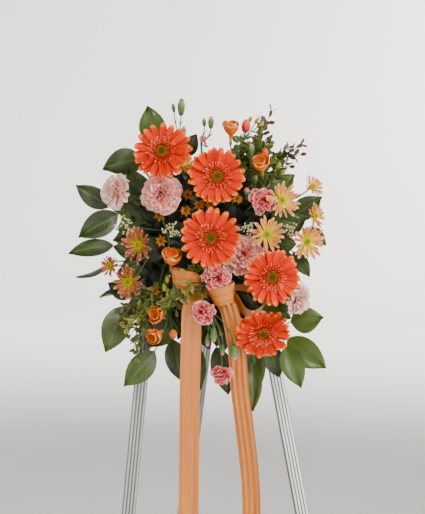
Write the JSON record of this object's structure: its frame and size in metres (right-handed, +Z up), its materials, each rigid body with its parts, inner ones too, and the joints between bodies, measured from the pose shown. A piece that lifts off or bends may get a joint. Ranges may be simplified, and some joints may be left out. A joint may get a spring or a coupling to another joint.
{
  "type": "standing funeral spray",
  "caption": "Fan-shaped spray of cut flowers and foliage with a satin ribbon bow and streamers, held in caged floral foam on a folding steel tripod easel.",
  "frame": {"origin": "on the floor, under the middle of the whole part's bounding box", "axes": "+Z up, -Y out of the front of the spray, +X to the right of someone who faces it"},
  "size_m": [0.5694, 0.7234, 1.3693],
  "materials": {
    "gerbera_petals": "velvety petals, orange-red to yellow-orange tips",
    "flower_stems": "smooth green stems",
    "carnation_petals": "ruffled pale pink petals",
    "mini_carnation_petals": "deep pink petals with white edges",
    "daisy_mum_petals": "salmon petals, yellow at the base",
    "button_mum_petals": "matt orange-brown petals",
    "freesia_petals": "waxy orange-yellow petals",
    "boxwood_leaves": "small glossy olive leaves with pale margins",
    "white_buds": "matt cream buds",
    "salal_leaves": "glossy dark green",
    "satin_ribbon": "copper satin",
    "pick_wood": "raw wood",
    "floral_foam": "wet green floral foam",
    "cage_plastic": "moulded green plastic",
    "easel_steel": "bright ribbed sheet steel"
  },
  "bodies": {
    "frame_and_spray": {"gerbera_1": "gerbera_petals", "gerbera_2": "gerbera_petals", "gerbera_3": "gerbera_petals", "gerbera_4": "gerbera_petals", "gerbera_5": "gerbera_petals", "gerbera_stem_1": "flower_stems", "gerbera_stem_2": "flower_stems", "gerbera_stem_3": "flower_stems", "gerbera_stem_4": "flower_stems", "gerbera_stem_5": "flower_stems", "carnation_1": "carnation_petals", "carnation_2": "carnation_petals", "carnation_3": "carnation_petals", "carnation_4": "carnation_petals", "carnation_stem_1": "flower_stems", "carnation_stem_2": "flower_stems", "carnation_stem_3": "flower_stems", "carnation_stem_4": "flower_stems", "mini_carnation_spray_1": "mini_carnation_petals", "mini_carnation_spray_2": "mini_carnation_petals", "mini_carnation_spray_3": "mini_carnation_petals", "mini_carnation_spray_4": "mini_carnation_petals", "mini_carnation_spray_5": "mini_carnation_petals", "daisy_mum_spray_1": "daisy_mum_petals", "daisy_mum_spray_2": "daisy_mum_petals", "daisy_mum_spray_3": "daisy_mum_petals", "daisy_mum_spray_4": "daisy_mum_petals", "button_mum_spray_1": "button_mum_petals", "button_mum_spray_2": "button_mum_petals", "freesia_1": "freesia_petals", "freesia_2": "freesia_petals", "freesia_3": "freesia_petals", "freesia_4": "freesia_petals", "boxwood_1": "boxwood_leaves", "boxwood_2": "boxwood_leaves", "boxwood_3": "boxwood_leaves", "boxwood_4": "boxwood_leaves", "white_berries_1": "white_buds", "white_berries_2": "white_buds", "white_berries_3": "white_buds", "salal_branch_1": "salal_leaves", "salal_branch_2": "salal_leaves", "salal_branch_3": "salal_leaves", "salal_branch_4": "salal_leaves", "salal_branch_5": "salal_leaves", "salal_branch_6": "salal_leaves", "salal_branch_7": "salal_leaves", "ribbon_bow": "satin_ribbon", "bow_pick": "pick_wood", "foam_block": "floral_foam", "foam_cage": "cage_plastic", "cage_tie_wire": "easel_steel", "easel_leg_left": "easel_steel", "easel_leg_right": "easel_steel", "easel_top_bar": "easel_steel", "easel_hinge_bar": "easel_steel", "easel_hinge_pin": "easel_steel"},
    "back_leg": {"easel_leg_back": "easel_steel"}
  },
  "joints": [
    {"name": "back_leg_fold", "type": "hinge", "parent": "frame_and_spray", "child": "back_leg", "pos_m": [-0.01948, -0.10398, 0.91988], "axis": [0.9744, 0.225, 0], "range_deg": [-36, 0]}
  ]
}
